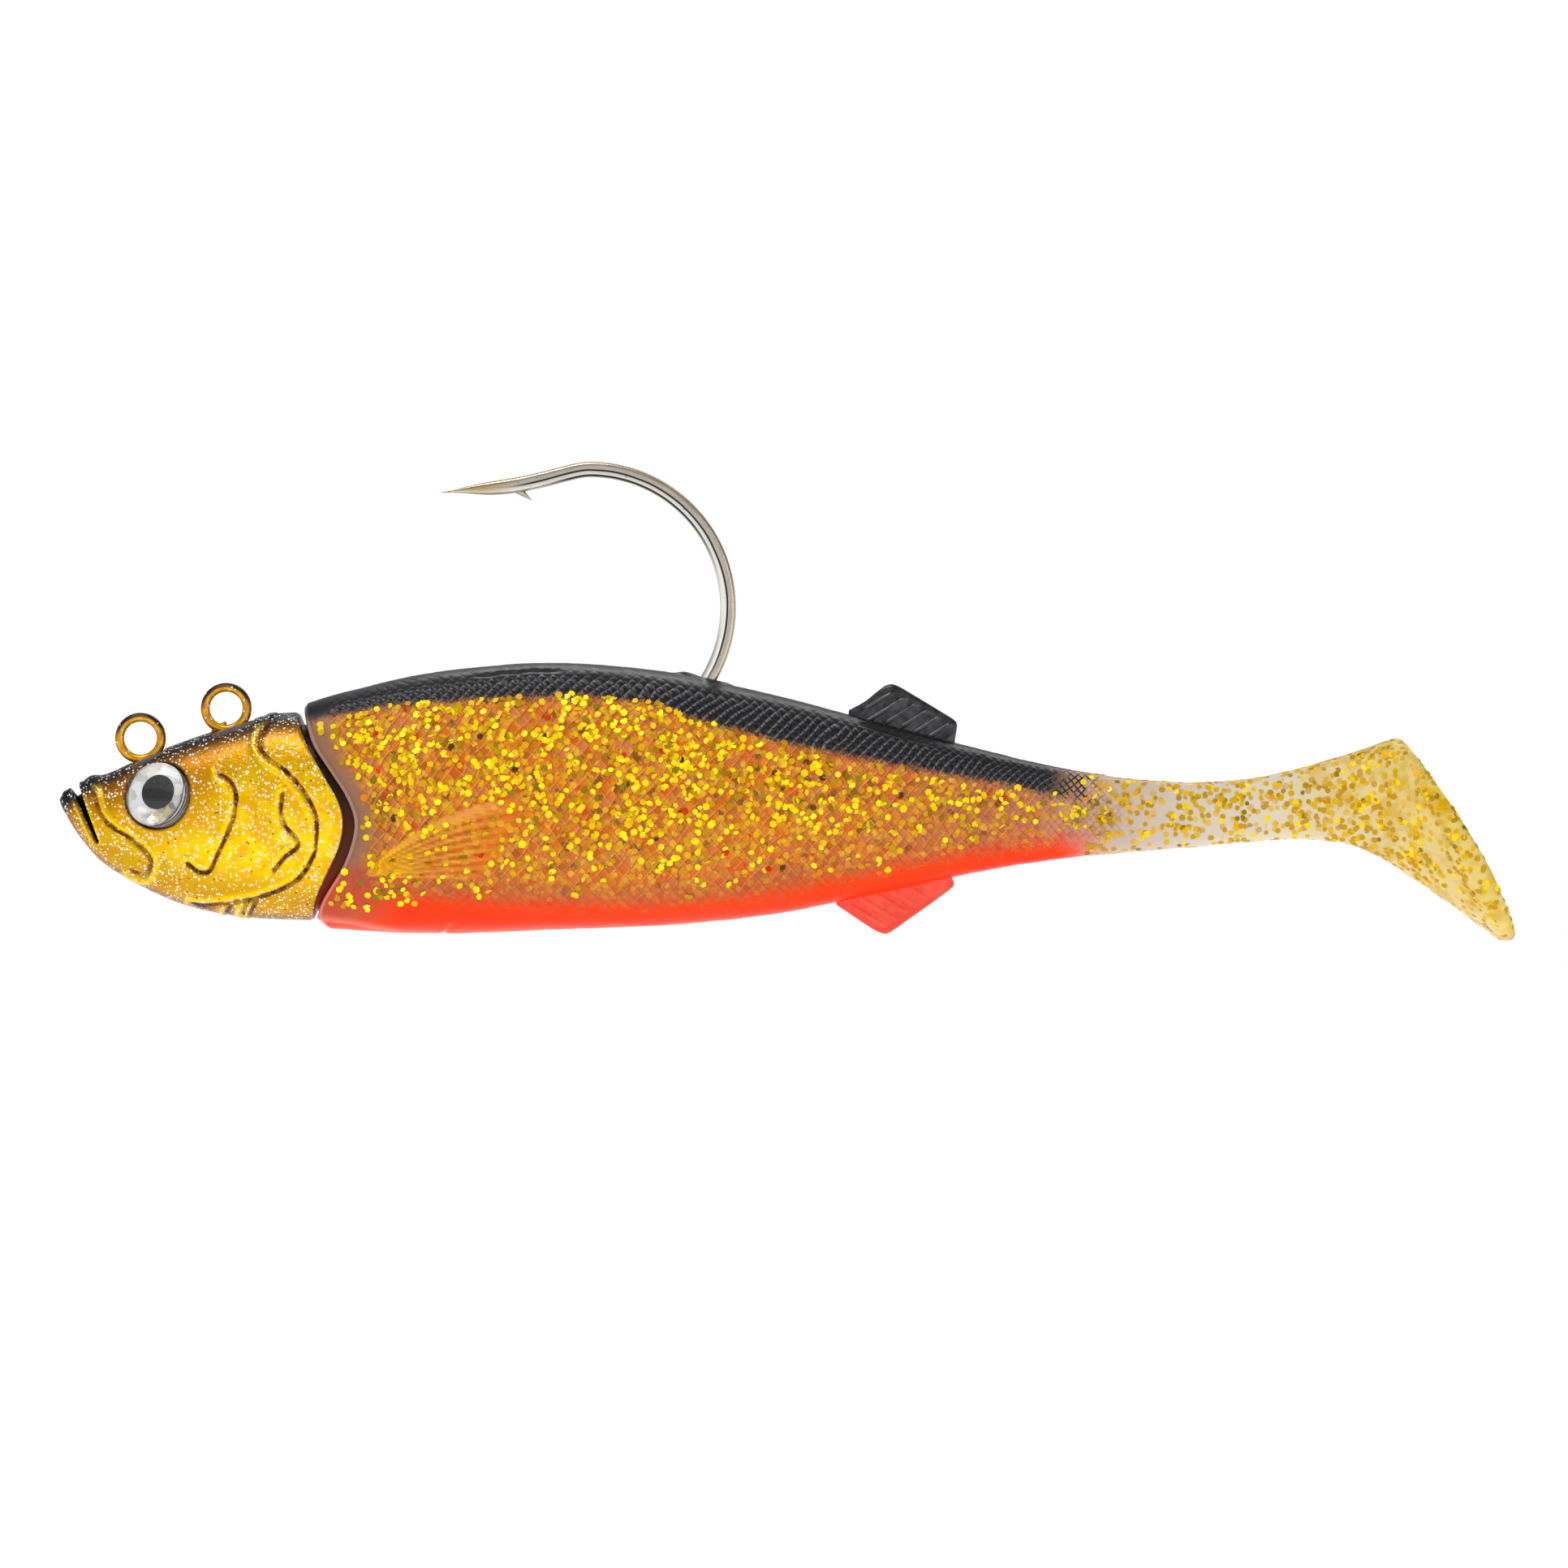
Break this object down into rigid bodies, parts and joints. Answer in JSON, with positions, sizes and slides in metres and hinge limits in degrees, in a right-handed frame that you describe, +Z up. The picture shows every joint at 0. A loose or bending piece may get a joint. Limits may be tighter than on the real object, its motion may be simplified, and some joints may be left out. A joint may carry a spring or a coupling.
{
  "type": "swimbait",
  "caption": "Jig-head swimbait: painted lead head with wire line ties, large forged hook and a flexible soft plastic fish body ending in a paddle tail.",
  "frame": {"origin": "centre of the nose line tie's ring", "axes": "+X from the nose to the tail, +Y across towards the fish's right side and along the line ties' bores, +Z up towards the back and the hook point"},
  "size_m": [0.2239, 0.0252, 0.0737],
  "materials": {
    "head_paint": "gloss",
    "tie_paint": "gloss",
    "hook_steel": "satin",
    "eye_pad": "matte",
    "eye_foil": "gloss",
    "eye_resin": "gloss",
    "body_plastic": "gloss",
    "tail_plastic": "gloss",
    "dorsal_fin_plastic": "gloss",
    "anal_fin_plastic": "gloss"
  },
  "bodies": {
    "head_and_body": {"jig_head": "head_paint", "nose_line_tie": "tie_paint", "top_line_tie": "tie_paint", "hook": "hook_steel", "left_eye_pad": "eye_pad", "right_eye_pad": "eye_pad", "left_eye_foil": "eye_foil", "right_eye_foil": "eye_foil", "left_eye_dome": "eye_resin", "right_eye_dome": "eye_resin", "soft_body": "body_plastic"},
    "rear_body": {"rear_body": "body_plastic"},
    "tail_stem": {"tail_stem": "tail_plastic"},
    "paddle": {"paddle_tail": "tail_plastic"},
    "dorsal_fin": {"dorsal_fin": "dorsal_fin_plastic"},
    "anal_fin": {"anal_fin": "anal_fin_plastic"}
  },
  "joints": [
    {"name": "rear_body_sway", "type": "hinge", "parent": "head_and_body", "child": "rear_body", "pos_m": [0.103, 0, -0.011], "axis": [0, 0, 1], "range_deg": [-12, 12], "stiffness_Nm_per_rad": 0.25},
    {"name": "tail_stem_swing", "type": "hinge", "parent": "rear_body", "child": "tail_stem", "pos_m": [0.151, 0, -0.0118], "axis": [0, 0, 1], "range_deg": [-30, 30], "stiffness_Nm_per_rad": 0.05},
    {"name": "paddle_kick", "type": "hinge", "parent": "tail_stem", "child": "paddle", "pos_m": [0.178, 0, -0.0102], "axis": [0, 0, 1], "range_deg": [-35, 35], "stiffness_Nm_per_rad": 0.02},
    {"name": "dorsal_fin_fold", "type": "hinge", "parent": "rear_body", "child": "dorsal_fin", "pos_m": [0.118, 0, 0.00276], "axis": [0.9657, 0, -0.2598], "range_deg": [-45, 45], "stiffness_Nm_per_rad": 0.0001},
    {"name": "anal_fin_fold", "type": "hinge", "parent": "rear_body", "child": "anal_fin", "pos_m": [0.116, 0, -0.02468], "axis": [0.9758, 0, 0.2186], "range_deg": [-45, 45], "stiffness_Nm_per_rad": 0.0001}
  ]
}
